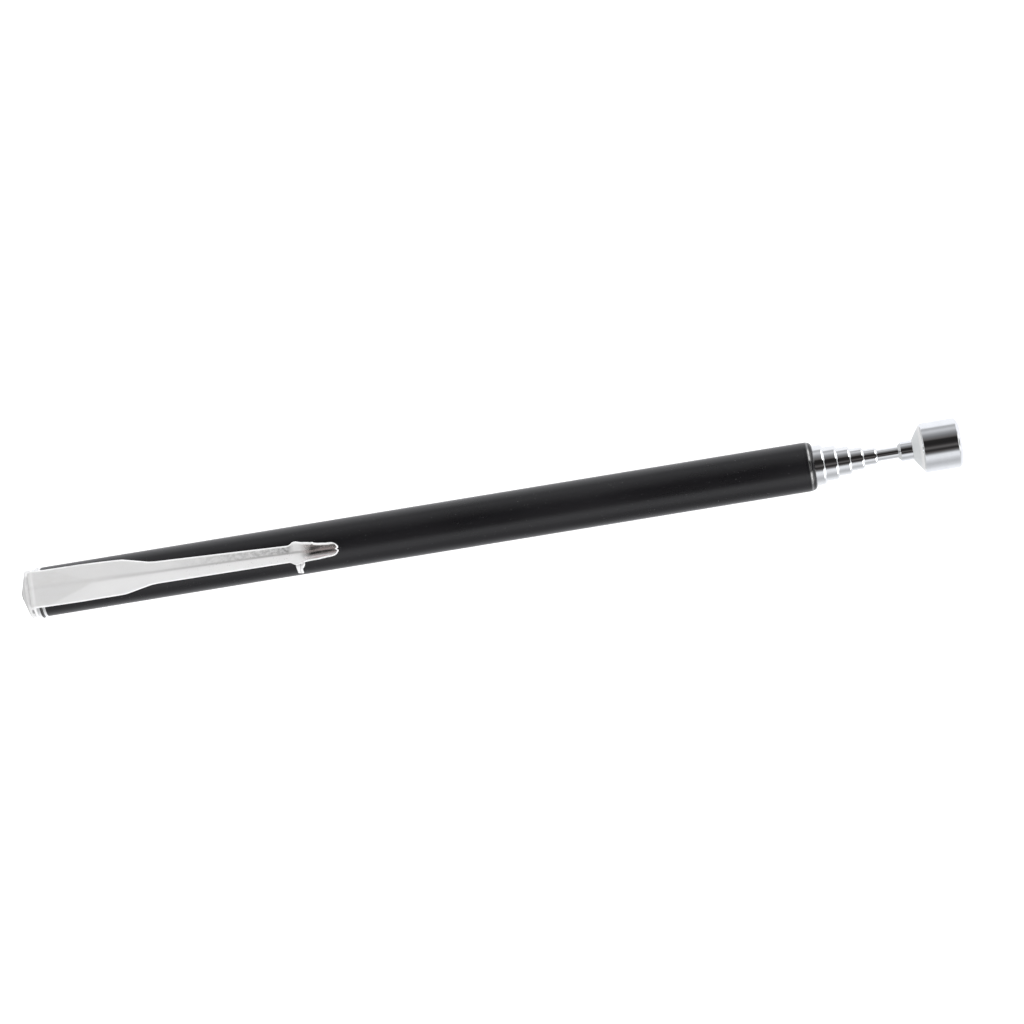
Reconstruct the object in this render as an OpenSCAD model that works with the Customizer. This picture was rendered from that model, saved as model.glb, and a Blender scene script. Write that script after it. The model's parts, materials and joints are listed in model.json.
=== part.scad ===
// Telescopic magnetic pickup tool with a pocket clip.
// A black barrel holds five chromed tubes and a rod, nested one inside the next.
// Each slides out until its brass stop bush meets the rolled-in mouth of the tube around it.
// Two sprung bronze leaves on each bush rub in that tube, so the mast stays where it is set.
//
// Frame: origin at the centre of the magnet's face, +X out of the magnet along the
// tool's axis, +Z towards the pocket clip. Distances called "x" below are measured
// along the axis from the tip of the end cap, and place() moves them to the frame.

/* [Overall] */
// Length of the closed tool
tool_l = 125; // [120:1:140]
// Length of the tool with all six sections drawn out
reach = 635; // [600:5:640]

/* [Barrel] */
// Outside diameter of the barrel
barrel_d = 6.5; // [6.4:0.05:6.7]
// Wall of the barrel
barrel_wall = 0.35; // [0.3:0.05:0.4]

/* [Telescopic sections] */
// Outside diameter of the largest tube
section_d = 5.3; // [5.2:0.05:5.35]
// How much smaller each tube is than the one around it
section_step = 0.78; // [0.74:0.02:0.8]
// Wall of every tube
tube_wall = 0.2; // [0.15:0.01:0.2]
// Diameter of the rod that carries the magnet
rod_d = 1.58; // [1.4:0.02:1.6]
// Length of the largest tube that shows when the tool is closed
first_show = 1.35; // [0.8:0.05:2]
// Length of each smaller tube that shows when the tool is closed
tube_show = 1.75; // [1:0.05:3]
// Length of the rod that shows when the tool is closed
rod_show = 2.75; // [1:0.05:6]
// Length of each stop bush
bush_l = 6.5; // [5:0.5:8]

/* [Magnet head] */
// Length of the head, from its collar to the magnet's face
head_l = 8.3; // [8:0.05:12]
// Diameter of the magnet cup
cup_d = 6.58; // [6.4:0.02:8]
// Diameter of the collar that grips the rod
collar_d = 2.58; // [2.4:0.02:3]
// Diameter of the magnet
magnet_d = 4.84; // [4:0.02:5]
// Thickness of the magnet
magnet_t = 3.5; // [2:0.1:4]

/* [Pocket clip] */
// Distance from the tip of the end cap to the tip of the clip
clip_l = 42.5; // [38:0.1:60]
// Width of the broad end of the clip
clip_w = 4.9; // [4:0.1:5]
// Thickness of the clip's sheet
clip_t = 0.45; // [0.35:0.05:0.5]
// Height of the clip's broad end above the axis
clip_h = 4.1; // [4:0.05:4.5]
// Angle by which the clip's sides rise from the valley along its middle, in degrees
clip_side_angle = 11; // [4:1:15]
// Angle by which the clip sits askew on the barrel, in degrees
clip_skew = 1.3; // [0:0.1:2]

/* [Hidden] */
$fn = 96;

TUBES = [for (n = [1:5]) str("section_", n, "_tube")];
BUSHES = [for (n = [1:6]) str("section_", n, "_stop_bush")];
SPRINGS = [for (n = [1:6]) str("section_", n, "_friction_springs")];

sections = 6;              // five tubes and the rod
run_gap = 0.03;            // radial clearance of a part that slides or turns
seat_gap = 0.005;          // radial clearance of a part that is pressed or glued in place
end_play = 0.05;           // axial clearance at a stop
lip_land = 0.15;           // straight length behind a rolled mouth

barrel_r = barrel_d / 2;
barrel_bore_r = barrel_r - barrel_wall;

// rear end, from the tip of the end cap
cap_cone_l = 1.0;          // depth of the cap's shallow cone
cap_rim_l = 0.45;          // cylinder behind the cone
cap_rim_r = barrel_r - 0.06;
cap_stem_r = 1.2;
cap_stem_l = 7.5;
eyelet_x = cap_cone_l + cap_rim_l;
flange_x = eyelet_x + clip_t;
flange_l = 1.15;
flange_r = barrel_r - 0.05;
bead_r = 0.2;              // section radius of the raised ring on the flange
rear_bush_bore_l = 8;
barrel_x = flange_x + flange_l;

// front end
head_x = tool_l - head_l;
cup_r = cup_d / 2;
collar_r = collar_d / 2;
barrel_front = head_x - rod_show - (sections - 2) * tube_show - first_show;
rod_r = rod_d / 2;
socket_l = 2.9;            // depth of the hole in the collar that holds the rod
spigot_r = 0.5;            // reduced end of the rod inside its stop bush

// Sections are numbered 0 to 5 from the barrel out, and 5 is the rod.
// The tube around section n is section n - 1, and -1 stands for the barrel.
function radius(n) =
    n < 0 ? barrel_r : n < sections - 1 ? section_d / 2 - n * section_step / 2 : rod_r;
function bore_r(n) = n == 0 ? barrel_bore_r : radius(n - 1) - tube_wall;
function front_x(n) = n < 0 ? barrel_front : barrel_front + first_show + n * tube_show;
function mouth_r(n) = radius(n) + run_gap;
function roll_r(n) = radius(n - 1) - mouth_r(n);
function stop_x(n) = front_x(n - 1) - roll_r(n) - lip_land;

function total(list, n = 0) = n < len(list) ? list[n] + total(list, n + 1) : 0;
stops = total([for (n = [0:sections - 1]) stop_x(n)]);
bush_front = (stops - (reach - tool_l)) / sections - end_play;
bush_rear = bush_front - bush_l;
function stroke(n) = stop_x(n) - bush_front - end_play;

// stop bush and friction springs
bush_flange_l = 1.2;
bush_floor = 0.05;         // wall left under the waist
leaf_t = 0.08;
leaf_gap = 0.015;          // clearance at the crown of a leaf
leaf_angle = 150;
leaf_ramp_l = 1;

// pocket clip: where its outline changes, and its heights above the axis
clip_fold_x = 3.4;         // where the flat triangle's sides start, at the arm's edges
clip_flat_end = 10.1;      // tip of the flat triangle at the broad end
clip_valley_y = 0.05;      // half the width of the valley line along the arm's middle
clip_broad_end = 13.7;
clip_shank_x = 18.1;
clip_sink_x = 18.6;        // where the arm starts to come down to the barrel
clip_broad_w = clip_w * cos(clip_side_angle);
clip_shank_w = 2.95;
clip_neck_w = 2.27;
clip_head_w = 3.06;
clip_tip_w = 2;
clip_tip_lift = 0.3;
lobe_y = 0.5;              // distance from the clip's middle to the centre of each lobe
clip_head_x = clip_l - 5.8;
clip_neck_x = clip_head_x - 0.75;
clip_touch_x = clip_head_x + 0.3;
clip_touch_z = barrel_r + run_gap + clip_t;
clip_bend_r = 2 * clip_t;
clip_split_x = 2.9;        // the flexing line between clip_root and clip_arm
clip_kerf = 0.05;
eyelet_r = barrel_r - 0.1;
clip_head_shift = (clip_head_x - eyelet_x) * sin(clip_skew);
lug_start = 0.15;          // how far the lug starts behind the head's widest point
lug_t = 0.4;
lug_w = 0.8;
lug_root_w = 1.6;
lug_neck_z = 2.6;          // height at which the lug starts to widen towards its root
lug_root_t = 0.3;          // thickness of the lug's root inside the head's sheet
lug_root_lap = 0.63;       // how far the root reaches in from the head's edge
lug_angle = 72;            // where the lug would touch the barrel, round from the clip
lug_end = 0.3;             // how far short of that line it ends

module place() {
    translate([-tool_l, 0, 0]) children();
}

// Turns a profile drawn in the (radius, x) plane about the tool's axis.
module turned(angle = 360) {
    place() rotate([0, 90, 0]) rotate_extrude(angle = angle) children();
}

module ring_section(r_in, r_out, x_from, x_to) {
    translate([r_in, x_from]) square([r_out - r_in, x_to - x_from]);
}

module quarter_disc(r) {
    intersection() {
        circle(r);
        square(r);
    }
}

// A tube whose front end is rolled in to a mouth that guides the next section.
module rolled_tube(r, wall, mouth, rear, front) {
    roll = r - mouth;
    turned() {
        ring_section(r - wall, r, rear, front - roll);
        ring_section(mouth, r, front - roll - lip_land, front - roll);
        translate([mouth, front - roll]) quarter_disc(roll);
    }
}

module barrel() {
    color("#232326")
        rolled_tube(barrel_r, barrel_wall, mouth_r(0), barrel_x, barrel_front);
}

module section_tube(n) {
    color("#d4d6da")
        rolled_tube(radius(n), tube_wall, mouth_r(n + 1), bush_rear, front_x(n));
}

module tip_rod() {
    color("#d4d6da") turned() {
        ring_section(0, spigot_r, bush_rear, bush_front);
        ring_section(0, rod_r, bush_front, head_x + socket_l - end_play);
    }
}

function bush_inner_r(n) = (n < sections - 1 ? radius(n) : spigot_r) + seat_gap;
function waist_r(n) = bush_inner_r(n) + bush_floor;

// Brass spool on the inner end of a section: its front flange is the stop.
module stop_bush(n) {
    flange = bore_r(n) - run_gap;
    color("#c9a24a") turned() difference() {
        ring_section(bush_inner_r(n), flange, bush_rear, bush_front);
        ring_section(waist_r(n), flange + 1, bush_rear + bush_flange_l, bush_front - bush_flange_l);
    }
}

// Two bowed leaves in the waist of a stop bush, rubbing in the tube around them.
module friction_springs(n) {
    rear = bush_rear + bush_flange_l + end_play;
    front = bush_front - bush_flange_l - end_play;
    foot = waist_r(n) + run_gap / 2;
    crown = bore_r(n) - leaf_gap - leaf_t;
    color("#b0713a") for (side = [0, 180])
        place() rotate([side + 90 - leaf_angle / 2, 0, 0]) rotate([0, 90, 0])
            rotate_extrude(angle = leaf_angle) polygon([
                [foot, rear], [foot + leaf_t, rear],
                [crown + leaf_t, rear + leaf_ramp_l], [crown + leaf_t, front - leaf_ramp_l],
                [foot + leaf_t, front], [foot, front],
                [crown, front - leaf_ramp_l], [crown, rear + leaf_ramp_l]
            ]);
}

// Collar pressed into the barrel. Its inner end stops the closed mast.
module rear_bush() {
    color("#c8cace") turned() difference() {
        union() {
            ring_section(0, barrel_bore_r - seat_gap, barrel_x, bush_rear - end_play);
            ring_section(0, flange_r, flange_x, barrel_x);
            translate([flange_r, flange_x + flange_l / 2]) circle(bead_r);
        }
        ring_section(-1, cap_stem_r + seat_gap, flange_x - 1, flange_x + rear_bush_bore_l);
    }
}

// Shallow cone with a stem that rivets the clip's eyelet to the rear bush.
module end_cap() {
    tip_r = 0.5;
    rim_chamfer = 0.18;
    color("#dcdde0") turned() polygon([
        [0, 0], [tip_r, 0.03],
        [cap_rim_r - 2 * rim_chamfer, cap_cone_l - 2 * rim_chamfer * cap_cone_l / cap_rim_r],
        [cap_rim_r, cap_cone_l + rim_chamfer],
        [cap_rim_r, eyelet_x], [cap_stem_r, eyelet_x],
        [cap_stem_r, eyelet_x + cap_stem_l], [0, eyelet_x + cap_stem_l]
    ]);
}

module askew() {
    place() translate([eyelet_x, 0, 0]) rotate([0, 0, -clip_skew])
        translate([-eyelet_x, 0, 0]) children();
}

// Eyelet under the end cap and the bend above it, up to the line where the clip flexes.
module clip_root() {
    bend_x = eyelet_x + clip_bend_r;
    bend_z = clip_h - clip_bend_r;
    color("#dfe0e2") difference() {
        place() difference() {
            union() {
                translate([eyelet_x, 0, 0]) rotate([0, 90, 0]) cylinder(r = eyelet_r, h = clip_t);
                translate([eyelet_x, -clip_w / 2, 0]) cube([clip_t, clip_w, bend_z]);
                translate([0, clip_w / 2, 0]) rotate([90, 0, 0]) linear_extrude(clip_w) {
                    translate([bend_x, bend_z]) mirror([1, 0]) difference() {
                        quarter_disc(clip_bend_r);
                        circle(clip_bend_r - clip_t);
                    }
                    translate([bend_x, clip_h - clip_t]) square([clip_split_x, clip_t]);
                }
            }
            rotate([0, 90, 0]) cylinder(r = cap_stem_r + seat_gap, h = 2 * flange_x);
        }
        askew() translate([clip_split_x, -clip_w, 0]) cube([2 * clip_split_x, 2 * clip_w, 2 * clip_h]);
    }
}

// Outline of the arm seen from above: straight edges, and two round lobes with a notch between.
module arm_plan() {
    lobe_r = clip_tip_w / 2 - lobe_y;
    lobe_x = clip_l - lobe_r;
    for (side = [0, 1]) mirror([0, side]) {
        polygon([
            [clip_split_x + clip_kerf, 0], [clip_split_x + clip_kerf, clip_w / 2],
            [clip_broad_end, clip_broad_w / 2], [clip_shank_x, clip_shank_w / 2],
            [clip_neck_x, clip_neck_w / 2], [clip_head_x, clip_head_w / 2],
            [lobe_x, clip_tip_w / 2], [lobe_x, 0]
        ]);
        translate([lobe_x, lobe_y]) circle(lobe_r);
    }
}

// All that lies below the arm's top surface. The surface has a flat triangle at the broad end that
// narrows to a valley line, and a side that rises on either hand of it.
module under_arm() {
    rise = clip_h - clip_touch_z;
    depth = 2 * clip_h;
    length = clip_flat_end - clip_fold_x;
    turn = atan((clip_w / 2 - clip_valley_y) / length);
    fold = atan(tan(clip_side_angle) / cos(turn));
    profile = [
        [0, 0], [clip_sink_x, 0], [clip_touch_x, -rise], [clip_l + 1, clip_tip_lift - rise],
        [clip_l + 1, -depth], [0, -depth]
    ];
    tilted = [for (p = profile) [p[0], p[1] * cos(clip_side_angle)]];
    translate([0, clip_w, clip_h]) rotate([90, 0, 0]) linear_extrude(2 * clip_w) polygon(profile);
    for (side = [0, 1]) mirror([0, side, 0]) intersection() {
        translate([0, clip_valley_y, clip_h]) rotate([90 + clip_side_angle, 0, 0])
            translate([0, 0, -2 * clip_w]) linear_extrude(3 * clip_w) polygon(tilted);
        translate([clip_flat_end, clip_valley_y, clip_h]) rotate([0, 0, -turn]) rotate([fold, 0, 0])
            translate([-clip_l, -clip_w, -depth]) cube([2 * clip_l, clip_l, depth]);
    }
}

// Lug bent down from one edge of the clip's head to bear on the side of the barrel.
module clip_lug() {
    inner = barrel_r + run_gap;
    out = [-sin(lug_angle), cos(lug_angle)];
    along = [cos(lug_angle), sin(lug_angle)];
    root = [clip_touch_z - lug_root_t / 2, clip_touch_z + lug_root_t / 2];
    root_y = clip_head_w / 2 + clip_head_shift - lug_root_lap;
    top = [for (z = root) (z - inner * cos(lug_angle)) / sin(lug_angle)];
    intersection() {
        rotate([90, 0, 90]) linear_extrude(clip_l) polygon([
            inner * out + lug_end * along, (inner + lug_t) * out + lug_end * along,
            (inner + lug_t) * out + top[0] * along, inner * out + top[1] * along,
            [-root_y, root[1]], [-root_y, root[0]], inner * out + top[0] * along
        ]);
        translate([clip_head_x - lug_start, 0, 0]) rotate([90, 0, 0]) linear_extrude(2 * barrel_r) polygon([
            [0, 0], [lug_w, 0], [lug_w, lug_neck_z], [lug_root_w, clip_h], [0, clip_h]
        ]);
    }
}

// The sprung arm of the clip.
module clip_arm() {
    color("#dfe0e2") {
        askew() intersection() {
            linear_extrude(2 * clip_h) arm_plan();
            difference() {
                under_arm();
                translate([0, 0, -clip_t]) under_arm();
            }
        }
        place() clip_lug();
    }
}

// Cup with a flared back and a collar crimped on the rod.
module magnet_cup() {
    collar_chamfer = 0.38;
    flare_x = head_x + 2;
    flare_l = 1.2;
    flare_foot = 0.16;
    shoulder = 0.1;
    rim_r = 0.55;
    color("#d9dade") turned() difference() {
        union() {
            polygon([
                [0, head_x], [collar_r - collar_chamfer, head_x],
                [collar_r, head_x + collar_chamfer], [collar_r, flare_x - flare_foot],
                [collar_r + flare_foot, flare_x], [cup_r - shoulder, flare_x + flare_l],
                [cup_r, flare_x + flare_l + shoulder], [cup_r, tool_l - rim_r],
                [cup_r - rim_r, tool_l - rim_r], [cup_r - rim_r, tool_l], [0, tool_l]
            ]);
            translate([cup_r - rim_r, tool_l - rim_r]) quarter_disc(rim_r);
        }
        ring_section(-1, rod_r + seat_gap, head_x - 1, head_x + socket_l);
        ring_section(-1, magnet_d / 2 + seat_gap, tool_l - magnet_t - end_play, tool_l + 1);
    }
}

module magnet() {
    chamfer = 0.12;
    r = magnet_d / 2;
    rear = tool_l - magnet_t;
    color("#b9bbc0") turned() polygon([
        [0, rear], [r - chamfer, rear], [r, rear + chamfer],
        [r, tool_l - chamfer], [r - chamfer, tool_l], [0, tool_l]
    ]);
}

barrel();
rear_bush();
end_cap();
clip_root();
clip_arm();
for (n = [0:sections - 2])
    section_tube(n);
tip_rod();
for (n = [0:sections - 1])
    stop_bush(n);
for (n = [0:sections - 1])
    friction_springs(n);
magnet_cup();
magnet();
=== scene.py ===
"""The looks of a telescopic magnetic pickup tool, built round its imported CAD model.

Frame: +X runs out of the magnet along the tool's axis, +Z points towards the pocket clip, and the
origin is the centre of the magnet's face. Shapes are worked out in millimetres and turned into metres
when a mesh is made. The clip's own x is measured along the axis from the tip of the end cap.
"""

import json
import math

import bpy
import numpy as np
from mathutils import Matrix, Vector


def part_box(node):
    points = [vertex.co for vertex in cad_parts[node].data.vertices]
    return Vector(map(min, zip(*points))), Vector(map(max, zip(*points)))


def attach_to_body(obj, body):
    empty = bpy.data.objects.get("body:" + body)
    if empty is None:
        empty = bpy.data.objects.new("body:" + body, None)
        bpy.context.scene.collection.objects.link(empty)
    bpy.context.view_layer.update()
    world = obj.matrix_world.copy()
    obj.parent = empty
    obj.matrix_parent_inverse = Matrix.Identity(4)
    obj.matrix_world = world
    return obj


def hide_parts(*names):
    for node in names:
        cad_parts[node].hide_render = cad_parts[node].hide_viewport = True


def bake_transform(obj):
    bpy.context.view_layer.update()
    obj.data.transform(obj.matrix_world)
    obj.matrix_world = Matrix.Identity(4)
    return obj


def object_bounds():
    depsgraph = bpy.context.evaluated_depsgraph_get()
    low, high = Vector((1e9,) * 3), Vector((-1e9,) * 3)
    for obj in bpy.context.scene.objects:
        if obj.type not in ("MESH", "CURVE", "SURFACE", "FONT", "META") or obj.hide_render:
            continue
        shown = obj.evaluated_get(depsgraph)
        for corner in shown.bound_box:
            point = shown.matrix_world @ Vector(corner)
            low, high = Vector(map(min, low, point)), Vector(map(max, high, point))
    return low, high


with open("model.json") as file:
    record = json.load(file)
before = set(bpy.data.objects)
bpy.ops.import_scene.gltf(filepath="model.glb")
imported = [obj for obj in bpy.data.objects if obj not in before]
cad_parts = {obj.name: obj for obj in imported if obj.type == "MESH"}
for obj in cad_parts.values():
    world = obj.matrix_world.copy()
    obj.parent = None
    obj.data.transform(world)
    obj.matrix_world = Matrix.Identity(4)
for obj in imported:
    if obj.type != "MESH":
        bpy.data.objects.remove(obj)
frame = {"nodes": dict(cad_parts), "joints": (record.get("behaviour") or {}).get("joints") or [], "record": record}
cad_low, cad_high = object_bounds()

MM = 0.001
TURN_STEPS = 256        # facets round a turned piece
SHARP_ANGLE = math.radians(32)
ON_AXIS = 1e-6


# ---------------------------------------------------------------- sizes read from the CAD model

def node_box(node):
    """Lowest and highest corner of a CAD node in millimetres."""
    low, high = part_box(node)
    return np.array(low) / MM, np.array(high) / MM


def round_node(node):
    """Rear end, front end and outer radius of a round CAD node, in millimetres."""
    low, high = node_box(node)
    radius = max(high[1] - low[1], high[2] - low[2]) / 2
    return low[0], high[0], radius


def joint(name):
    return next(j for j in frame["joints"] if j["name"] == name)


REAR = node_box("end_cap")[0][0]
RUN_GAP = 0.03          # between two pieces that slide
SHEET_GAP = 0.005       # between two pieces that are pressed together
BARREL_WALL = 0.35
TUBE_WALL = 0.2


# ---------------------------------------------------------------- mesh helpers

def smooth_step(value, low, high):
    t = min(max((value - low) / (high - low), 0.0), 1.0)
    return t * t * (3 - 2 * t)


def make_piece(name, points, faces, marks=None):
    """A smooth-shaded mesh object from points in millimetres, with its normals turned outwards.

    marks holds named lists with a value for each point, which materials read as attributes.
    """
    mesh = bpy.data.meshes.new(name)
    mesh.from_pydata([tuple(p) for p in np.asarray(points) * MM], [], faces)
    mesh.validate()
    for mark, values in (marks or {}).items():
        mesh.attributes.new(mark, "FLOAT", "POINT").data.foreach_set("value", values)
    volume = sum(
        mesh.vertices[f.vertices[0]].co.dot(
            mesh.vertices[f.vertices[i]].co.cross(mesh.vertices[f.vertices[i + 1]].co)
        )
        for f in mesh.polygons
        for i in range(1, len(f.vertices) - 1)
    )
    if volume < 0:
        mesh.flip_normals()
    mesh.shade_smooth()
    mesh.set_sharp_from_angle(angle=SHARP_ANGLE)
    piece = bpy.data.objects.new(name, mesh)
    bpy.context.scene.collection.objects.link(piece)
    return piece


def arc(x, r, radius, start, end, steps=10):
    """Points on an arc in the (x, radius) plane. 0 degrees points forwards and 90 points outwards."""
    angles = [math.radians(start + (end - start) * i / steps) for i in range(steps + 1)]
    return [(x + radius * math.cos(a), r + radius * math.sin(a)) for a in angles]


def guarded(profile):
    """The outline with a point close to each end of every long side, so it shades straight between."""
    guard = 0.03
    made = []
    for a, b in zip(profile, profile[1:] + profile[:1]):
        made.append(a)
        length = math.dist(a, b)
        if length > 8 * guard:
            step = ((b[0] - a[0]) * guard / length, (b[1] - a[1]) * guard / length)
            made += [(a[0] + step[0], a[1] + step[1]), (b[0] - step[0], b[1] - step[1])]
    return made


def lathe(name, outline):
    """Turns a closed (x, radius) outline about the axis. Points on the axis become single vertices."""
    points, rings = [], []
    for x, r in guarded(outline):
        start = len(points)
        if r < ON_AXIS:
            points.append((x, 0, 0))
            rings.append([start] * TURN_STEPS)
            continue
        for k in range(TURN_STEPS):
            a = 2 * math.pi * k / TURN_STEPS
            points.append((x, r * math.cos(a), r * math.sin(a)))
        rings.append(list(range(start, start + TURN_STEPS)))
    faces = []
    for i, ring in enumerate(rings):
        after = rings[(i + 1) % len(rings)]
        for k in range(TURN_STEPS):
            beside = (k + 1) % TURN_STEPS
            face = list(dict.fromkeys([ring[k], ring[beside], after[beside], after[k]]))
            if len(face) > 2:
                faces.append(face)
    return make_piece(name, points, faces)


def sheet_strip(path, normals, tangents, side, low, high, thickness, shift, lift=None, rim_scale=None):
    """A sheet-metal strip with rounded edges and ends: points, faces, and each point's (rim, across).

    path is the middle of the sheet. low and high are the strip's extents along side at each station.
    shift(i, s) moves the sheet along its tangent, and lift(i, s) moves it along its normal. rim is 1
    at the strip's edges and 0 inside them, for a painted highlight, and across runs from -1 to 1 over
    its width. rim_scale says how many times wider the rim is along the high edge, at each station.
    """
    flat_steps, round_steps = 40, 8
    rim_whole, rim_gone = 0.12, 0.30
    thinnest = 0.05     # share of the thickness left at the very end of the strip
    half = thickness / 2
    count = len(path)
    points, marks = [], []
    travelled = np.concatenate([[0], np.cumsum(np.linalg.norm(np.diff(path, axis=0), axis=1))])
    for i in range(count):
        end = min(travelled[i], travelled[-1] - travelled[i])
        swell = max(math.sqrt(1 - (1 - min(end / half, 1.0)) ** 2), thinnest)
        a, b = low[i] + half, high[i] - half
        top = [(a + (b - a) * k / flat_steps, 1.0) for k in range(flat_steps + 1)]
        right = [
            (b + half * math.cos(math.pi / 2 - math.pi * k / round_steps),
             math.sin(math.pi / 2 - math.pi * k / round_steps))
            for k in range(1, round_steps)
        ]
        bottom = [(s, -1.0) for s, _ in reversed(top)]
        left = [(a + b - s, -n) for s, n in right]
        for s, n in top + right + bottom + left:
            p = path[i] + side * s + normals[i] * n * half * swell
            inside = min(max(s, low[i]), high[i])
            if lift is not None:
                p = p + normals[i] * lift(i, inside)
            points.append(p + tangents[i] * shift(i, inside))
            from_edge = min(s - low[i], (high[i] - s) / (rim_scale[i] if rim_scale else 1.0), end)
            across = (2 * s - low[i] - high[i]) / (high[i] - low[i])
            marks.append((1 - smooth_step(from_edge, rim_whole, rim_gone), across))
    loop = len(points) // count
    faces = []
    for i in range(count - 1):
        for k in range(loop):
            a, b = i * loop + k, i * loop + (k + 1) % loop
            faces.append([a, b, b + loop, a + loop])
    faces.append(list(range(loop)))
    faces.append([(count - 1) * loop + k for k in reversed(range(loop))])
    return points, faces, marks


def join_shells(shells):
    """One list of points, one of faces and one of marks from several of each."""
    points, faces, marks = [], [], []
    for more_points, more_faces, more_marks in shells:
        start = len(points)
        points.extend(more_points)
        faces.extend([[v + start for v in face] for face in more_faces])
        marks.extend(more_marks)
    return points, faces, marks


# ---------------------------------------------------------------- material helpers

class Nodes:
    """Short ways to add and wire the nodes of a tree. A value may be a number, a colour or a socket."""

    def __init__(self, tree):
        self.tree = tree

    def feed(self, socket, value):
        if isinstance(value, bpy.types.NodeSocket):
            self.tree.links.new(value, socket)
        else:
            socket.default_value = value

    def feed_named(self, node, values):
        """Sets or links a node's inputs by name. Underscores stand for spaces."""
        for key, value in values.items():
            self.feed(node.inputs[key.replace("_", " ")], value)

    def add(self, kind, **values):
        made = self.tree.nodes.new(kind)
        self.feed_named(made, values)
        return made

    def ramp(self, value, low, high, out_low=0.0, out_high=1.0):
        """value from low to high, mapped to out_low to out_high and held there outside."""
        return self.add("ShaderNodeMapRange", Value=value, From_Min=low, From_Max=high,
                        To_Min=out_low, To_Max=out_high).outputs["Result"]

    def maths(self, operation, a, b=0.0):
        made = self.add("ShaderNodeMath")
        made.operation = operation
        self.feed(made.inputs[0], a)
        self.feed(made.inputs[1], b)
        return made.outputs[0]

    def times(self, first, *others):
        """The product of all the values."""
        for other in others:
            first = self.maths("MULTIPLY", first, other)
        return first

    def near(self, value, centre, whole, gone, most=1.0):
        """most where value is within whole of the centre, and 0 where it is further than gone."""
        away = self.maths("ABSOLUTE", self.maths("SUBTRACT", value, centre))
        return self.ramp(away, whole, gone, most, 0.0)

    def band(self, value, low, rise, fall, high):
        """1 where value lies between rise and fall, and 0 below low and above high."""
        return self.times(self.ramp(value, low, rise), self.ramp(value, fall, high, 1.0, 0.0))

    def mix(self, share, a, b):
        """Colour a where share is 0 and colour b where it is 1."""
        made = self.add("ShaderNodeMix")
        made.data_type = "RGBA"
        for socket, value in ((0, share), (6, a), (7, b)):      # 6 and 7 are the colour sockets
            self.feed(made.inputs[socket], value)
        return made.outputs[2]


class Shader(Nodes):
    """A principled material and its patterns."""

    def __init__(self, name):
        self.material = bpy.data.materials.new(name)
        self.material.use_nodes = True
        super().__init__(self.material.node_tree)
        self.surface = self.tree.nodes["Principled BSDF"]
        self.place = self.add("ShaderNodeTexCoord").outputs["Object"]

    def set(self, **values):
        """Sets or links inputs of the principled shader."""
        self.feed_named(self.surface, values)

    def axis(self, name):
        return self.add("ShaderNodeSeparateXYZ", Vector=self.place).outputs[name]

    def mark(self, name):
        """A value stored at the piece's points, and 0 on a piece that has none."""
        made = self.add("ShaderNodeAttribute")
        made.attribute_name = name
        return made.outputs["Fac"]

    def grain(self, size, stretch=(1, 1, 1), detail=3.0, offset=0.0):
        """Noise whose features are about size millimetres, longer along an axis with a small stretch."""
        scaled = self.add("ShaderNodeMapping", Vector=self.place, Scale=[s / (size * MM) for s in stretch],
                          Location=(offset, offset * 1.7, offset * 0.6))
        return self.add("ShaderNodeTexNoise", Vector=scaled.outputs[0], Detail=detail, Roughness=0.55,
                        Scale=1.0).outputs["Fac"]

    def bump(self, height, depth, normal=None):
        """Relief of depth millimetres. normal is a bump under it."""
        under = {} if normal is None else {"Normal": normal}
        return self.add("ShaderNodeBump", Strength=1.0, Distance=depth * MM, Height=height,
                        **under).outputs["Normal"]


def grey(value, tint=(1.0, 1.0, 1.0)):
    return (value * tint[0], value * tint[1], value * tint[2], 1.0)


ALONG = (0.02, 1, 1)        # marks drawn out along the tool
AROUND = (1, 0.02, 0.02)    # marks drawn out round the tool


def plated_metal(name, shade, rough, direction, mark_size, mark_depth, tint=(1, 1, 1), haze=0.05):
    """Polished or satin plating: fine marks in one direction, with faint haze and smears."""
    s = Shader(name)
    marks = s.grain(mark_size, direction, detail=4.0)
    smear = s.grain(1.6, detail=4.0, offset=3.1)
    specks = s.ramp(s.grain(0.16, detail=2.0, offset=8.3), 0.70, 0.76)
    rougher = s.times(s.ramp(smear, 0.42, 0.72), haze)
    rougher = s.maths("ADD", rougher, s.ramp(marks, 0.35, 0.75, rough * 0.8, rough * 1.3))
    rougher = s.maths("ADD", rougher, s.times(specks, 0.12))
    colour = s.mix(s.ramp(smear, 0.35, 0.7), grey(shade, tint), grey(shade * 0.95, tint))
    colour = s.mix(specks, colour, grey(shade * 0.72, tint))
    waves = s.bump(s.grain(2.4, detail=1.0, offset=5.0), 0.0012)
    s.set(Base_Color=colour, Metallic=1.0, Roughness=rougher, Normal=s.bump(marks, mark_depth, waves))
    return s, colour, rougher


def cup_plating():
    """Polished plating, except on the flare behind the cup, which is satin, with a painted highlight that makes it
    palest at the cup.
    """
    s, colour, rougher = plated_metal("cup_plating", 0.90, 0.06, AROUND, 0.05, 0.0006, (0.985, 1.0, 1.02))
    flare = round_node("magnet_cup")[0] + FLARE_AT
    x = s.axis("X")
    satin = s.band(x, (flare - 0.1) * MM, flare * MM, (flare + 1.08) * MM, (flare + 1.14) * MM)
    # painted highlight: the satin flare is painted lighter towards the shoulder at the cup
    flare_highlight = s.ramp(x, (flare + 0.7) * MM, (flare + 1.0) * MM)
    flare_highlight = s.mix(flare_highlight, grey(0.88, (0.975, 1.0, 1.01)), grey(1.0))
    s.set(Base_Color=s.mix(satin, colour, flare_highlight))
    s.set(Metallic=s.ramp(satin, 0, 1, 1.0, 0.45))
    s.set(Roughness=s.maths("ADD", rougher, s.times(satin, 0.42)))
    return s.material


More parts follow.
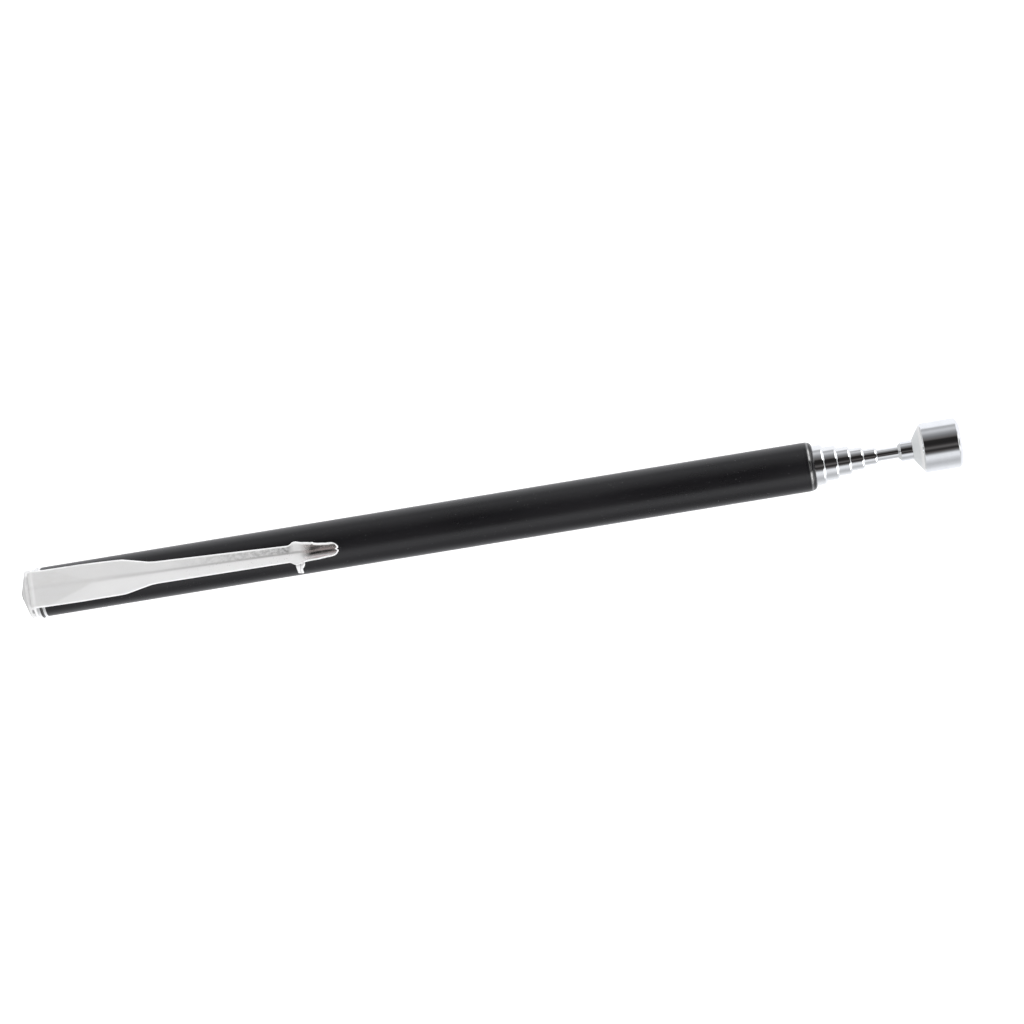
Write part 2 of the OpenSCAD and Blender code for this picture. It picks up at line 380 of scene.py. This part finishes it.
def collar_plating():
    """Bright plating with black patches round the raised ring, away from the clip's root."""
    s, colour, _ = plated_metal("bright_collar", 0.90, 0.12, AROUND, 0.06, 0.0008, (1.0, 1.0, 0.99))
    middle = (round_node("rear_bush")[0] + round_node("barrel")[0]) / 2
    # black, non-metal patches round the raised ring, kept off the high-Y side
    ring = s.near(s.axis("X"), (middle + 0.02) * MM, 0.17 * MM, 0.22 * MM)
    patchy = s.ramp(s.grain(0.5, (1, 0.4, 0.4), detail=4.0, offset=1.7), 0.30, 0.45)
    side = s.ramp(s.axis("Y"), 2.2 * MM, 1.2 * MM)
    dark_patches = s.times(ring, patchy, side)
    s.set(Base_Color=s.mix(dark_patches, colour, grey(0.03)))
    s.set(Metallic=s.ramp(dark_patches, 0, 1, 1.0, 0.0))
    return s.material


def black_paint():
    """Semi-gloss black enamel with a faint orange peel, dust, and a painted highlight ring round the mouth."""
    s = Shader("black_paint")
    peel = s.grain(0.55, detail=2.0)
    fine = s.grain(0.07, detail=3.0, offset=2.0)
    dust = s.ramp(s.grain(0.13, detail=1.0, offset=11.0), 0.765, 0.80)
    smudge = s.ramp(s.grain(7.0, (0.35, 1, 1), detail=5.0, offset=4.0), 0.4, 0.75)
    front = round_node("barrel")[1] * MM
    x = s.axis("X")
    # painted highlight: a patchy ring on the mouth's roll, painted lighter grey and made metallic
    patchy = s.ramp(s.grain(0.3, (1, 0.3, 0.3), detail=3.0, offset=6.0), 0.3, 0.5, 0.5, 1.0)
    mouth_highlight_ring = s.times(s.near(x, front - 0.62 * MM, 0.05 * MM, 0.20 * MM), patchy)
    corner = s.ramp(x, front - 1.2 * MM, front - 0.9 * MM)
    colour = s.mix(smudge, grey(0.007, (1.0, 0.96, 1.12)), grey(0.010, (1.0, 0.96, 1.12)))
    colour = s.mix(s.times(dust, 0.6), colour, grey(0.32))
    # the painted highlight ring on the mouth's roll
    colour = s.mix(mouth_highlight_ring, colour, grey(0.28))
    rough = s.maths("ADD", s.ramp(smudge, 0, 1, 0.27, 0.36), s.times(dust, 0.3))
    rough = s.maths("SUBTRACT", rough, s.times(corner, 0.14))
    relief = s.bump(dust, 0.01, s.bump(fine, 0.0006, s.bump(peel, 0.0022)))
    shine = s.ramp(s.axis("Y"), -2.7 * MM, -2.1 * MM, 0.28, 0.5)
    s.set(Base_Color=colour, Metallic=mouth_highlight_ring, Roughness=rough, Normal=relief, Specular_IOR_Level=shine)
    return s.material


def satin_plating():
    """Satin plating on the clip and the cap: painted highlights and painted shade, pits, and a polished dish at
    the tip.
    """
    s = Shader("satin_plating")
    x, y, across = s.axis("X"), s.axis("Y"), s.mark("across")
    x_fold, x_flat_end, x_head = [(REAR + place) * MM for place in (FOLD_X, FLAT_END, HEAD_X)]
    fine = s.grain(0.06, detail=3.0)
    mottle = s.grain(1.1, (0.5, 1, 1), detail=4.0, offset=3.1)
    blotch = s.ramp(s.grain(0.40, (0.7, 1, 1), detail=3.0, offset=5.2), 0.38, 0.64)
    # painted highlight along the sheet's edges, stronger in random places
    rim_scale = s.ramp(s.grain(0.5, (0.3, 1, 1), offset=6.1), 0.2, 0.45, 0.75, 1.0)
    rim = s.times(s.mark("rim"), rim_scale)

    # painted highlight: the facets beside the flat triangle are painted lighter, where they face the light
    half_fold = s.ramp(x, x_fold, x_flat_end, 1.0, 0.0)
    lit_facet = s.ramp(s.maths("SUBTRACT", s.maths("ABSOLUTE", across), half_fold), -0.05, 0.12)
    lit_facet = s.times(lit_facet, s.ramp(x, (REAR + 2.6) * MM, x_fold))
    colour = s.mix(s.ramp(mottle, 0.35, 0.7), grey(0.94), grey(0.89, (1.0, 0.995, 0.985)))
    colour = s.mix(s.times(lit_facet, 0.55), colour, grey(0.98))

    # painted reflection of the dark surroundings: beyond the valley the shank is painted grey and mottled towards
    # the head, with a darker patch just before it
    forward = s.ramp(x, (REAR + 20) * MM, x_head - 2 * MM)
    forward = s.maths("ADD", forward, s.near(x, x_head - 1.1 * MM, 0.25 * MM, 0.7 * MM, most=0.4))
    forward = s.times(forward, s.ramp(x, x_head - 0.9 * MM, x_head, 1.0, 0.1))
    shaded = s.times(forward, s.ramp(across, 0.0, 0.22), s.ramp(blotch, 0, 1, 0.35, 1.0))
    colour = s.mix(s.times(shaded, 0.75), colour, grey(0.30, (1.0, 0.99, 1.0)))

    # painted shade: a dark line runs down the valley, and pits thicken towards the head
    valley = s.times(s.near(across, 0.08, 0.03, 0.16), s.ramp(x, (REAR + 9) * MM, x_head, 0.12, 1.0))
    pits = s.ramp(s.grain(0.20, detail=1.5, offset=8.3), 0.66, 0.72)
    pits = s.times(pits, s.ramp(forward, 0, 1, 0.08, 1.0))
    colour = s.mix(s.times(valley, 0.5), colour, grey(0.20, (1.0, 0.9, 0.92)))
    colour = s.mix(s.times(pits, 0.6), colour, grey(0.20))

    # the cap is greyer, with painted shade round its tip and in the corner under the clip
    cap = s.ramp(x, (REAR + EYELET_X - 0.05) * MM, (REAR + EYELET_X + 0.02) * MM, 1.0, 0.0)
    apex = s.ramp(x, (REAR + 0.10) * MM, (REAR + 0.30) * MM, 0.6, 0.0)
    apex = s.times(apex, s.near(y, 0.0, 0.45 * MM, 0.75 * MM))
    corner = s.times(s.ramp(y, -2.9 * MM, -2.7 * MM), s.ramp(y, -2.45 * MM, -2.3 * MM, 0.75, 0.0))
    corner = s.times(corner, s.band(x, *[(REAR + place) * MM for place in (1.2, 1.35, 1.7, 1.8)]))
    corner = s.times(corner, s.ramp(s.axis("Z"), 0, 1 * MM))
    # painted shade at the apex and painted shadow under the clip's bend
    cap_shade = s.maths("MAXIMUM", apex, corner)
    colour = s.mix(s.times(cap, s.ramp(mottle, 0.35, 0.65, 0.3, 0.8)), colour, grey(0.72))
    colour = s.mix(cap_shade, colour, grey(0.16))

    # the dish is polished, with reddish streaks along it
    ragged = s.maths("ADD", x, s.ramp(mottle, 0.3, 0.7, 0.25 * MM, -0.25 * MM))
    dish = s.ramp(ragged, x_head + 0.5 * MM, x_head + 2.2 * MM)
    dish = s.times(dish, s.ramp(rim, 0.2, 0.8, 1.0, 0.0))
    streaks = s.ramp(s.grain(0.30, (0.10, 1, 1), detail=3.0, offset=9.4), 0.40, 0.62)
    streaks = s.times(dish, streaks)
    colour = s.mix(s.times(dish, 0.8), colour, grey(0.86, (1.0, 0.97, 0.96)))
    colour = s.mix(streaks, colour, grey(0.78, (1.0, 0.86, 0.84)))
    # the painted highlight along the edges
    colour = s.mix(rim, colour, grey(0.98))

    metal = s.ramp(dish, 0, 1, 0.45, 1.0)
    for where, change in ((rim, -0.15), (cap, -0.25), (streaks, -0.22)):
        metal = s.maths("ADD", metal, s.times(where, change))
    rough = s.ramp(mottle, 0.35, 0.7, 0.36, 0.44)
    for where, change in ((dish, s.ramp(fine, 0.3, 0.7, -0.29, -0.24)), (cap, 0.18)):
        rough = s.maths("ADD", rough, s.times(where, change))
    relief = s.bump(pits, -0.02, s.bump(fine, 0.0008, s.bump(mottle, 0.003)))
    s.set(Base_Color=colour, Metallic=metal, Roughness=rough, Normal=relief)
    return s.material


def magnet_nickel():
    """Dull nickel with the marks of a ground face."""
    grinding = (1, 1, 0.05)
    tint = (1.0, 0.985, 0.96)
    return plated_metal("magnet_nickel", 0.62, 0.34, grinding, 0.12, 0.002, tint, haze=0.15)[0].material


def build_materials():
    plated = {
        "chromed_tube": (0.90, 0.055, ALONG, 0.06, 0.0005, (0.99, 1.0, 1.01)),
        "brass": (0.80, 0.24, AROUND, 0.07, 0.001, (1.0, 0.76, 0.36)),
        "spring_bronze": (0.72, 0.30, ALONG, 0.08, 0.001, (1.0, 0.62, 0.38)),
    }
    made = {name: plated_metal(name, *values)[0].material for name, values in plated.items()}
    made["black_paint"] = black_paint()
    made["satin_plating"] = satin_plating()
    made["bright_collar"] = collar_plating()
    made["cup_plating"] = cup_plating()
    made["magnet_plating"] = magnet_nickel()
    return made


# ---------------------------------------------------------------- the mast and the barrel

SECTIONS = 6
TUBE_NODES = [f"section_{n}_tube" for n in range(1, SECTIONS)]


def rolled_tube(name, node, wall, mouth, roll_length):
    """A tube whose front end is rolled in to a mouth round the next section."""
    rear, front, radius = round_node(node)
    roll = radius - mouth
    lip = min(0.09, roll * 0.3)
    land = 0.15
    edge = min(0.05, wall * 0.25)
    quarter = np.radians(np.linspace(90, 14, 18))
    rolled = [
        (front - roll_length + roll_length * math.cos(a), mouth + roll * math.sin(a)) for a in quarter
    ]
    profile = (
        [(rear, radius - wall), (rear, radius - edge)]
        + arc(rear + edge, radius - edge, edge, 180, 90, 3)[1:]
        + rolled
        + arc(front - lip, mouth + lip, lip, 0, -90, 6)
        + [(front - roll - land, mouth), (front - roll - land, radius - wall)]
    )
    return lathe(name, profile)


def build_barrel():
    mouth = round_node(TUBE_NODES[0])[2] + RUN_GAP
    return rolled_tube("barrel_shell", "barrel", BARREL_WALL, mouth, roll_length=0.9)


def build_tubes():
    made = []
    for n, (node, inner) in enumerate(zip(TUBE_NODES, TUBE_NODES[1:] + ["tip_rod"]), start=1):
        mouth = round_node(inner)[2] + RUN_GAP
        made.append(rolled_tube(f"mast_tube_{n}", node, TUBE_WALL, mouth, roll_length=0.36))
    return made


def build_rod():
    rear, front, radius = round_node("tip_rod")
    bush_front = node_box("section_6_stop_bush")[1][0]
    spigot, edge = 0.5, 0.08
    profile = (
        [(rear, 0), (rear, spigot - edge)]
        + arc(rear + edge, spigot - edge, edge, 180, 90, 3)[1:]
        + [(bush_front, spigot), (bush_front, radius - edge)]
        + arc(bush_front + edge, radius - edge, edge, 180, 90, 3)[1:]
        + arc(front - edge, radius - edge, edge, 90, 0, 3)
        + [(front, 0)]
    )
    return lathe("mast_rod", profile)


# ---------------------------------------------------------------- the rear end

def build_rear_bush():
    """The pressed-in collar: a flange with a raised ring between two narrow lands."""
    rear, front, bead_top = round_node("rear_bush")
    barrel_rear, _, barrel_r = round_node("barrel")
    bore = 1.205
    bore_end = rear + 8
    flange = barrel_r - 0.05
    bead = bead_top - flange
    middle = (rear + barrel_rear) / 2
    body = barrel_r - BARREL_WALL - SHEET_GAP
    edge, chamfer = 0.06, 0.3
    profile = (
        [(rear, bore), (rear, flange - edge)]
        + arc(rear + edge, flange - edge, edge, 180, 90, 3)[1:]
        + arc(middle, flange, bead, 180, 0, 16)
        + arc(barrel_rear - edge, flange - edge, edge, 90, 0, 3)
        + [(barrel_rear, body), (front - chamfer, body), (front, body - chamfer)]
        + [(front, 0), (bore_end, 0), (bore_end, bore)]
    )
    return lathe("rear_collar", profile)


def build_end_cap():
    """The shallow cone, its rolled edge and rim, and the stem that holds the clip on."""
    rear, front, rim_r = round_node("end_cap")
    depth, rim, stem = 1.0, 0.45, 1.2
    tip, tip_crown = 0.55, 0.05
    rounding = 0.2
    slope = math.degrees(math.atan2(rim_r - tip, depth))
    profile = (
        [(rear, 0)]
        + [(rear + tip_crown * (k / 6) ** 2, tip * k / 6) for k in range(1, 7)]
        + [(rear + depth - rounding * 0.9, rim_r - rounding * 1.05)]
        + arc(rear + depth + rounding * 0.2, rim_r - rounding, rounding, 180 - (90 - slope) - 12, 90, 8)
        + [(rear + depth + rim - 0.05, rim_r), (rear + depth + rim, rim_r - 0.05)]
        + [(rear + depth + rim, stem), (front, stem), (front, 0)]
    )
    return lathe("cone_cap", profile)


# ---------------------------------------------------------------- the magnet head

FLARE_AT = 2.0          # from the collar's rear face to the foot of the flare


def build_cup():
    """Collar, flare and cup in one turned piece, with the pocket for the magnet."""
    rear, front, cup_r = round_node("magnet_cup")
    _, _, magnet_r = round_node("magnet")
    _, rod_front, rod_r = round_node("tip_rod")
    collar = 1.29
    chamfer = 0.38
    flare_x = rear + FLARE_AT
    flare_end = flare_x + 1.2
    foot, shoulder = 0.16, 0.1
    rim, rim_curve, rim_face = 0.5, 1.05, 0.72
    hole = rod_r + SHEET_GAP
    neck = 0.4          # radius of the core between the rod's end and the magnet
    pocket = magnet_r + 0.02
    floor = node_box("magnet")[0][0] - 0.05
    lip = 0.05
    profile = (
        [(rear, hole), (rear, collar - chamfer)]
        + [(rear + chamfer * 0.94, collar - chamfer * 0.06)]
        + [(rear + chamfer * 1.2, collar)]
        + [(flare_x - foot * 1.2, collar)]
        + [(flare_x - foot * 0.5, collar + foot * 0.22), (flare_x, collar + foot)]
        + [(flare_end, cup_r - shoulder), (flare_end + shoulder * 0.35, cup_r - shoulder * 0.35)]
        + [(flare_end + shoulder, cup_r), (front - rim - 0.05, cup_r)]
        + arc(front - rim - 0.572, cup_r - 0.881, rim_curve, 57, 12, 12)
        + [(front, cup_r - rim_face), (front, pocket + lip)]
        + arc(front - lip, pocket + lip, lip, 0, -90, 3)[1:]
        + [(floor, pocket), (floor, neck), (rod_front + 0.05, neck), (rod_front + 0.05, hole)]
    )
    return lathe("magnet_holder", profile)


def build_magnet():
    rear, front, radius = round_node("magnet")
    edge = 0.12
    profile = (
        [(rear, 0), (rear, radius - edge)]
        + arc(rear + edge, radius - edge, edge, 180, 90, 5)[1:]
        + arc(front - edge, radius - edge, edge, 90, 0, 5)
        + [(front, 0)]
    )
    return lathe("disc_magnet", profile)


# ---------------------------------------------------------------- the pocket clip

CLIP_T = 0.45           # thickness of the sheet
CLIP_TOP = 4.1          # height of the arm's top face at the bend
CLIP_BEND_R = 2 * CLIP_T
CLIP_LENGTH = 42.5
CLIP_SIDE_SLOPE = math.tan(math.radians(11))
EYELET_X = 1.45         # rear face of the eyelet
EYELET_R = 3.14
FOLD_X = 3.4            # the flat triangle is as wide as the arm here
FLAT_END = 10.1         # and comes to a point here
BROAD_W = 2.45          # half the width of the broad part
DROP_X = 18.1           # the arm comes down towards the barrel from here
HEAD_X = CLIP_LENGTH - 5.8
ALONG_Y = np.array((0, 1.0, 0))
ALONG_X = np.array((1.0, 0, 0))


def clip_half_width(x):
    """Half the arm's width: broad, then a taper to the shank, then the flared head."""
    outline = [
        (0.0, BROAD_W), (8.5, BROAD_W), (13.3, BROAD_W - 0.10), (14.2, BROAD_W - 0.15),
        (17.6, 1.54), (18.5, 1.47), (HEAD_X - 0.85, 1.14), (HEAD_X - 0.65, 1.18), (HEAD_X - 0.2, 1.48),
        (HEAD_X, 1.53), (HEAD_X + 0.3, 1.53), (HEAD_X + 0.9, 1.42), (HEAD_X + 2.0, 1.28),
        (HEAD_X + 3.0, 1.15), (HEAD_X + 4.0, 1.04), (CLIP_LENGTH - 1.2, 1.0), (CLIP_LENGTH - 0.7, 1.02),
        (CLIP_LENGTH, 0.98),
    ]
    places, widths = zip(*outline)
    return float(np.interp(x, places, widths))


def clip_drop(x):
    """How far the arm has come down towards the barrel, below its height at the bend."""
    touch = CLIP_TOP - (round_node("barrel")[2] + RUN_GAP + CLIP_T)
    down = touch * min(max((x - DROP_X) / (HEAD_X - DROP_X), 0.0), 1.0) ** 1.15
    tip_lift = 0.3 * smooth_step(x, HEAD_X, CLIP_LENGTH + 1)
    return down - tip_lift


def clip_rise(x, y):
    """Height of the sheet above the valley line: the sides slope up, and the head is a trough."""
    valley_round, fold_round = 0.13, 0.1
    fold = max(BROAD_W * (FLAT_END - x) / (FLAT_END - FOLD_X), 0.0)
    away = math.hypot(y, valley_round) - valley_round - fold
    rise = CLIP_SIDE_SLOPE * 0.5 * (away + math.hypot(away, fold_round) - fold_round)
    if x < FOLD_X - 0.5:
        rise = 0.0
    # the trough is lowest to one side, turns up sharply there, and is nearly flat on the other
    head = smooth_step(x, HEAD_X - 0.4, HEAD_X + 1.8)
    across = y + 0.36
    if across < 0:
        trough = 0.62 * across * across
    else:
        curved = min(across, 0.60)
        trough = 0.27 * curved * curved + 0.33 * (across - curved)
    return rise * (1 - head) + head * trough


def clip_stations():
    """The middle of the sheet from the eyelet's foot to the tip: places, normals, half widths and x."""
    half = CLIP_T / 2
    narrowest = 0.3
    path, normals, widths, stations = [], [], [], []
    bend_x, bend_z = EYELET_X + CLIP_BEND_R, CLIP_TOP - CLIP_BEND_R
    for z in np.linspace(-EYELET_R + 0.12, bend_z, 60):
        path.append((EYELET_X + half, 0, z))
        normals.append((-1, 0, 0))
        chord = math.sqrt(max(EYELET_R ** 2 - z * z, narrowest ** 2))
        widths.append(max(chord, BROAD_W if z > 0 else narrowest))
        stations.append(0.0)
    for a in np.linspace(180, 90, 14)[1:]:
        c, s = math.cos(math.radians(a)), math.sin(math.radians(a))
        path.append((bend_x + (CLIP_BEND_R - half) * c, 0, bend_z + (CLIP_BEND_R - half) * s))
        normals.append((c, 0, s))
        widths.append(BROAD_W)
        stations.append(0.0)
    xs = np.concatenate([
        np.linspace(bend_x + 0.2, HEAD_X - 1.2, 130), np.linspace(HEAD_X - 1.1, CLIP_LENGTH - 1.0, 60),
        np.linspace(CLIP_LENGTH - 0.95, CLIP_LENGTH, 24)])
    for x in xs:
        slope = (clip_drop(x + 0.05) - clip_drop(x - 0.05)) / 0.1
        normal = np.array((slope, 0, 1.0)) / math.hypot(slope, 1)
        path.append(np.array((x, 0, CLIP_TOP - clip_drop(x))) - normal * half)
        normals.append(normal)
        widths.append(clip_half_width(x))
        stations.append(x)
    return np.array(path, float), np.array(normals, float), widths, stations


def build_clip():
    """The clip as one stamping: eyelet, bend, arm and head, with the lug on one edge."""
    path, normals, widths, stations = clip_stations()
    tangents = np.cross(ALONG_Y, normals)
    lows, highs, rim_scale = [], [], []
    for x, w in zip(stations, widths):
        lean = 0.13 * smooth_step(x, HEAD_X + 1.5, HEAD_X + 3.3)
        nub = 0.09 * math.exp(-((x - HEAD_X - 2.45) / 0.13) ** 2)
        rim_scale.append(1 + 0.45 * smooth_step(x, HEAD_X - 0.5, HEAD_X + 0.2))
        lows.append(-w - lean)
        highs.append(w + nub - lean - 0.08 * smooth_step(x, HEAD_X + 0.2, HEAD_X + 1.2))

    def lift(i, y):
        """Folds the arm and the head. The eyelet and the bend, whose x is 0, stay flat."""
        return clip_rise(stations[i], y) if stations[i] else 0.0

    def lobes(i, y):
        """Rounds the end of the clip, and notches it in the middle."""
        near = smooth_step(stations[i], CLIP_LENGTH - 2.1, CLIP_LENGTH)
        share = (2 * y - lows[i] - highs[i]) / (highs[i] - lows[i])
        notch = 0.30 * max(1 - abs(share) / 0.22, 0.0) ** 1.5
        return -near * (notch + 1.15 * (1 - math.sqrt(max(1 - 0.96 * share ** 2, 0.0))))

    arm_points, arm_faces, arm_marks = sheet_strip(
        path, normals, tangents, ALONG_Y, lows, highs, CLIP_T, shift=lobes, lift=lift, rim_scale=rim_scale)
    axis = joint("clip_flex")["axis"]
    skew = math.atan2(axis[0], -axis[1])
    arm_points = [place_on_tool(p, skew) for p in arm_points]
    # the painted highlight on the edge stops where the lug leaves the head, and every other edge keeps it
    loop = len(arm_marks) // len(stations)
    clear = 9.0
    for k, (rim, across) in enumerate(arm_marks):
        from_lug = abs(stations[k // loop] - (HEAD_X + 0.45)) if across < 0 else clear
        arm_marks[k] = (rim * smooth_step(from_lug, 0.5, 0.8), across)
    points, faces, marks = join_shells([(arm_points, arm_faces, arm_marks), build_lug()])
    rims, acrosses = zip(*marks)
    return make_piece("pocket_clip", points, faces, {"rim": rims, "across": acrosses})


def place_on_tool(point, skew):
    """From the clip's own frame to the tool's: the arm is turned askew about the eyelet."""
    x, y, z = np.asarray(point, float)
    turn = skew * smooth_step(x, EYELET_X + CLIP_T, EYELET_X + 2.5)
    along = x - EYELET_X
    return np.array((
        REAR + EYELET_X + along * math.cos(turn) - y * math.sin(turn),
        along * math.sin(turn) + y * math.cos(turn),
        z,
    ))


def build_lug():
    """The lug: leaves the head's edge, turns down and lies beside the barrel."""
    barrel_r = round_node("barrel")[2]
    thickness = 0.34
    angle = math.radians(72)        # round the barrel from the top to the lug's free end
    out = np.array((-math.sin(angle), math.cos(angle)))
    along = np.array((math.cos(angle), math.sin(angle)))
    centre_r = barrel_r + 2 * RUN_GAP + thickness / 2
    end, top = 0.35, 2.35
    bend_r = 0.55
    straight = [centre_r * out + along * t for t in np.linspace(end, top - bend_r, 22)]
    # the bend turns the strip from along the barrel's side to level with the head's sheet
    start = straight[-1]
    centre = start - out * bend_r
    first = math.atan2(out[1], out[0])
    last = math.radians(98)
    bend = [
        centre + bend_r * np.array((math.cos(a), math.sin(a)))
        for a in np.linspace(first, last, 14)[1:]
    ]
    inward = np.array((math.sin(last), -math.cos(last)))
    inner = [bend[-1] + inward * t for t in np.linspace(0.08, 0.55, 6)]
    line = straight + bend + inner
    path = np.array([(0, y, z) for y, z in line])
    tangents = np.gradient(path, axis=0)
    tangents = tangents / np.linalg.norm(tangents, axis=1)[:, None]
    normals = np.cross(tangents, ALONG_X)
    if normals[0] @ np.array((0, *out)) < 0:
        normals = -normals
    head = REAR + HEAD_X
    front = head + 0.66
    lows, highs = [], []
    for _, z in line:
        widen = smooth_step(z, 2.6, 3.6)
        lows.append(head - 0.10 - 0.10 * widen)
        highs.append(front + 0.70 * widen)

    def slant(i, x):
        """The lug's end is cut at a slant: its front corner reaches further down."""
        return 0.38 * (front - x) * (1 - smooth_step(i, 0, 16))

    return sheet_strip(path, normals, tangents, ALONG_X, lows, highs, thickness, shift=slant)


# ---------------------------------------------------------------- stage, light and camera

def build_floor():
    """A white sweep under the tool that shows no edge. Only the camera sees it, and only from above."""
    low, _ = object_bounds()
    size = 6.0
    mesh = bpy.data.meshes.new("floor")
    corners = [(-size, -size, 0), (size, -size, 0), (size, size, 0), (-size, size, 0)]
    mesh.from_pydata(corners, [], [(0, 1, 2, 3)])
    floor = bpy.data.objects.new("floor", mesh)
    floor.location.z = low.z - 0.02 * MM
    bpy.context.scene.collection.objects.link(floor)
    s = Shader("white_floor")
    s.set(Base_Color=grey(0.8), Roughness=0.9, Specular_IOR_Level=0.0)
    s.set(Emission_Color=grey(1.0), Emission_Strength=0.72)
    seen = s.add("ShaderNodeLightPath").outputs["Is Camera Ray"]
    underside = s.add("ShaderNodeNewGeometry").outputs["Backfacing"]
    above = s.times(seen, s.maths("SUBTRACT", 1.0, underside))
    clear = s.add("ShaderNodeBsdfTransparent").outputs[0]
    shown = s.add("ShaderNodeMixShader")
    for socket, value in zip(shown.inputs, (above, clear, s.surface.outputs[0])):
        s.feed(socket, value)
    s.feed(s.tree.nodes["Material Output"].inputs["Surface"], shown.outputs[0])
    mesh.materials.append(s.material)


CAMERA_TILT = math.radians(7.4)   # the camera leans this far from overhead, towards -Y


def build_world():
    """A light tent: white low down, grey higher up, and a dark card overhead round the camera."""
    world = bpy.data.worlds.new("light_tent")
    bpy.context.scene.world = world
    world.use_nodes = True
    w = Nodes(world.node_tree)
    direction = w.add("ShaderNodeTexCoord").outputs["Generated"]
    turned = w.add("ShaderNodeVectorRotate", Vector=direction, Angle=-CAMERA_TILT)
    turned.rotation_type = "X_AXIS"
    x, y, z = w.add("ShaderNodeSeparateXYZ", Vector=turned.outputs[0]).outputs
    angle = w.maths("ARCTAN2", y, z)
    share = w.times(angle, 1 / math.pi, 0.5)
    share = w.maths("ADD", share, 0.5)

    # brightness against the angle round the tool, in degrees from the camera, + towards +Y
    bands = [
        (-180, 1.05), (-150, 1.05), (-125, 0.92), (-105, 0.68), (-90, 0.56), (-82, 0.54), (-68, 0.68),
        (-56, 0.87), (-44, 0.88), (-39, 0.68), (-34, 0.32), (-28, 0.12), (-20, 0.025), (-15, 0.035),
        (-7, 0.12), (-2, 0.085), (4, 0.03), (12, 0.018), (27, 0.022), (34, 0.12), (46, 0.20), (58, 0.35),
        (70, 0.60), (77, 0.61), (84, 0.48), (93, 0.48), (99, 0.88), (106, 1.05), (180, 1.05),
    ]
    card_tint, paper_tint = (1.0, 0.94, 0.93), (0.98, 0.99, 1.02)
    ramp = w.add("ShaderNodeValToRGB", Fac=share)
    elements = ramp.color_ramp.elements
    while len(elements) > 1:
        elements.remove(elements[-1])
    for k, (degrees, value) in enumerate(bands):
        position = (degrees + 180) / 360
        element = elements[0] if k == 0 else elements.new(position)
        element.position = position
        element.color = grey(value, card_tint if value < 0.15 else paper_tint)
    light = ramp.outputs[0]

    # a bright box stands on either side of the card, towards the magnet's end
    off_card = w.maths("ABSOLUTE", w.times(angle, 180 / math.pi))
    box = w.times(w.band(off_card, 27, 36, 88, 100), w.band(x, 0.24, 0.34, 0.76, 0.88))
    light = w.mix(box, light, grey(2.6))
    # the walls beyond the magnet and behind the end cap, each with its own brightness
    for low, whole, value in ((0.90, 0.95, 1.1), (0.978, 0.99, 0.30), (-0.40, -0.50, 0.64)):
        light = w.mix(w.ramp(x, low, whole), light, grey(value))

    seen = w.add("ShaderNodeLightPath").outputs["Is Camera Ray"]
    background = w.tree.nodes["Background"]
    w.feed_named(background, {"Color": w.mix(seen, light, grey(1.0)), "Strength": 1.0})


def build_lights():
    """Two large soft lights, one over each long side of the tool."""
    middle = (cad_low + cad_high) / 2
    for name, side, energy in (("soft_near", -1, 3.3), ("soft_far", 1, 2.6)):
        light = bpy.data.lights.new(name, "AREA")
        light.shape = "RECTANGLE"
        light.size, light.size_y = 0.9, 0.35
        light.energy = energy
        lamp = bpy.data.objects.new(name, light)
        lamp.location = middle + Vector((0, side * 0.55, 0.6))
        lamp.visible_glossy = False
        lamp.rotation_euler = (middle - lamp.location).to_track_quat("-Z", "Y").to_euler()
        bpy.context.scene.collection.objects.link(lamp)


def build_camera():
    """A long lens almost overhead, leaning a little from the -Y side, with the tool's front end up."""
    distance = 590 * MM
    frame_width = 134.5 * MM    # what the picture spans at the tool
    over = 82 * MM              # how far from the rear end the camera stands
    roll = math.radians(9.305)
    target = Vector((REAR * MM + 65.5 * MM, 0.44 * MM, 0))
    lean = Vector((0, -math.sin(CAMERA_TILT), math.cos(CAMERA_TILT)))
    data = bpy.data.cameras.new("camera")
    data.sensor_width = 36
    data.lens = data.sensor_width * distance / frame_width
    data.clip_start, data.clip_end = 0.01, 20
    camera = bpy.data.objects.new("camera", data)
    camera.location = Vector((REAR * MM + over, 0, 0)) + lean * distance
    back = (camera.location - target).normalized()
    right = Vector((1, 0, 0)) - back * back.x
    right.normalize()
    up = back.cross(right)
    level = Matrix((right, up, back)).transposed()
    camera.rotation_euler = (level @ Matrix.Rotation(-roll, 3, "Z")).to_euler()
    bpy.context.scene.collection.objects.link(camera)
    bpy.context.scene.camera = camera


# ---------------------------------------------------------------- the scene

def finish_piece(piece, slot, *nodes):
    """Gives a new piece its finish, and hides the CAD nodes it stands for."""
    piece.data.materials.append(materials[slot])
    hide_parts(*nodes)


def attach(piece, body, slot, *nodes):
    """Finishes a piece that rides on one body."""
    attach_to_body(piece, body)
    finish_piece(piece, slot, *nodes)


def dress_cad_nodes():
    """Gives the CAD nodes that stay their finishes."""
    slots = {s["node"]: s["material_slot"] for s in frame["record"]["subparts"]}
    for node, piece in frame["nodes"].items():
        piece.data.materials.clear()
        piece.data.materials.append(materials[slots[node]])


materials = build_materials()
dress_cad_nodes()
attach(build_barrel(), "barrel", "black_paint", "barrel")
attach(build_rear_bush(), "barrel", "bright_collar", "rear_bush")
attach(build_end_cap(), "barrel", "satin_plating", "end_cap")
for number, tube in enumerate(build_tubes(), start=1):
    attach(tube, f"section_{number}", "chromed_tube", f"section_{number}_tube")
attach(build_rod(), "tip", "chromed_tube", "tip_rod")
attach(build_cup(), "tip", "cup_plating", "magnet_cup")
attach(build_magnet(), "tip", "magnet_plating", "magnet")

# the clip is one piece in place of both clip nodes, and rides on no body
clip = build_clip()
finish_piece(clip, "satin_plating", "clip_root", "clip_arm")
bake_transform(clip)

build_floor()
build_world()
build_lights()
build_camera()
bpy.context.scene.view_settings.view_transform = "Standard"
